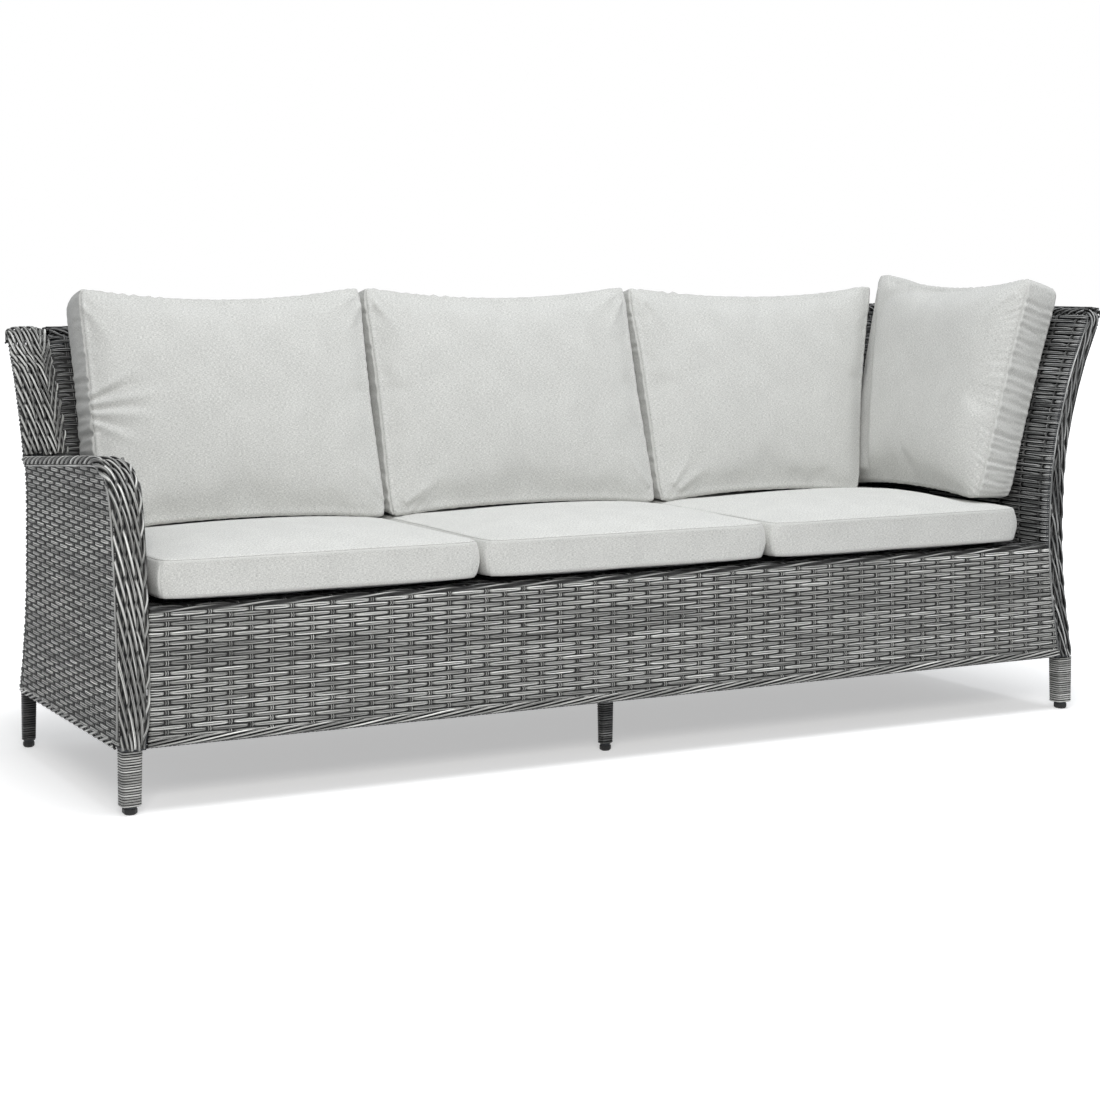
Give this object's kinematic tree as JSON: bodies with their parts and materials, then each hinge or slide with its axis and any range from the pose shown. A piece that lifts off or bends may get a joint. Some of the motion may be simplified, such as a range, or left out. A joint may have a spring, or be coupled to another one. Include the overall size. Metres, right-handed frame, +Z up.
{
  "type": "rattan garden sofa",
  "caption": "Woven garden sofa with a low arm at one end, a full-height corner side at the other, wrapped legs and loose seat, back and corner cushions.",
  "frame": {"origin": "on the floor under the middle of the sofa's bounding box", "axes": "+X to the right along the seat as one faces the front, -Y to the front, +Z up"},
  "size_m": [2.1796, 0.8002, 0.9209],
  "materials": {
    "frame_paint": "powder coated dark grey, satin",
    "strand": "extruded grey strand, streaked light and dark, with a soft sheen",
    "dark_strand": "the same strand where it lies in shade or is wound tight",
    "cushion_cloth": "light grey melange woven cloth, matt",
    "foot_plastic": "black moulded nylon, matt"
  },
  "bodies": {
    "woven_frame": {"arm_hoop_tube": "frame_paint", "rear_left_post": "frame_paint", "rear_corner_post": "frame_paint", "front_right_post": "frame_paint", "front_seat_rail": "frame_paint", "front_bottom_rail": "frame_paint", "rear_seat_rail": "frame_paint", "rear_bottom_rail": "frame_paint", "left_seat_rail": "frame_paint", "left_bottom_rail": "frame_paint", "right_seat_rail": "frame_paint", "right_bottom_rail": "frame_paint", "seat_bearer_1": "frame_paint", "seat_bearer_2": "frame_paint", "seat_bearer_3": "frame_paint", "back_upright_1": "frame_paint", "back_upright_2": "frame_paint", "side_upright": "frame_paint", "back_top_rail": "frame_paint", "side_top_rail": "frame_paint", "front_apron_weave": "strand", "arm_outer_weave": "strand", "arm_inner_weave": "strand", "arm_braid": "strand", "wing_braid": "strand", "back_outer_weave": "strand", "back_inner_weave": "strand", "side_inner_weave": "strand", "side_outer_weave": "strand", "side_front_braid": "strand", "back_top_braid": "strand", "side_top_braid": "strand", "seat_deck": "dark_strand", "front_edge_trim": "strand", "rear_edge_trim": "strand", "left_edge_trim": "strand", "right_edge_trim": "strand", "leg_front_left": "frame_paint", "wrap_front_left": "dark_strand", "glide_front_left": "foot_plastic", "leg_front_right": "frame_paint", "wrap_front_right": "dark_strand", "glide_front_right": "foot_plastic", "leg_rear_left": "frame_paint", "wrap_rear_left": "dark_strand", "glide_rear_left": "foot_plastic", "leg_rear_right": "frame_paint", "wrap_rear_right": "dark_strand", "glide_rear_right": "foot_plastic", "leg_centre": "frame_paint", "wrap_centre": "dark_strand", "glide_centre": "foot_plastic"},
    "seat_pad_left": {"seat_cushion_left": "cushion_cloth"},
    "seat_pad_middle": {"seat_cushion_middle": "cushion_cloth"},
    "seat_pad_right": {"seat_cushion_right": "cushion_cloth"},
    "back_pad_left": {"back_cushion_left": "cushion_cloth"},
    "back_pad_middle": {"back_cushion_middle": "cushion_cloth"},
    "back_pad_right": {"back_cushion_right": "cushion_cloth"},
    "corner_pad": {"corner_cushion": "cushion_cloth"}
  },
  "joints": [
    {"name": "seat_cushion_left_pull", "type": "slide", "parent": "woven_frame", "child": "seat_pad_left", "axis": [0, -1, 0], "range_m": [0, 0.62]},
    {"name": "seat_cushion_middle_pull", "type": "slide", "parent": "woven_frame", "child": "seat_pad_middle", "axis": [0, -1, 0], "range_m": [0, 0.62]},
    {"name": "seat_cushion_right_pull", "type": "slide", "parent": "woven_frame", "child": "seat_pad_right", "axis": [0, -1, 0], "range_m": [0, 0.62]},
    {"name": "back_cushion_left_lift", "type": "slide", "parent": "woven_frame", "child": "back_pad_left", "axis": [0, 0, 1], "range_m": [0, 0.47]},
    {"name": "back_cushion_middle_lift", "type": "slide", "parent": "woven_frame", "child": "back_pad_middle", "axis": [0, 0, 1], "range_m": [0, 0.47]},
    {"name": "back_cushion_right_lift", "type": "slide", "parent": "woven_frame", "child": "back_pad_right", "axis": [0, 0, 1], "range_m": [0, 0.47]},
    {"name": "corner_cushion_lift", "type": "slide", "parent": "woven_frame", "child": "corner_pad", "axis": [0.2924, 0, 0.9563], "range_m": [0, 0.47]}
  ]
}
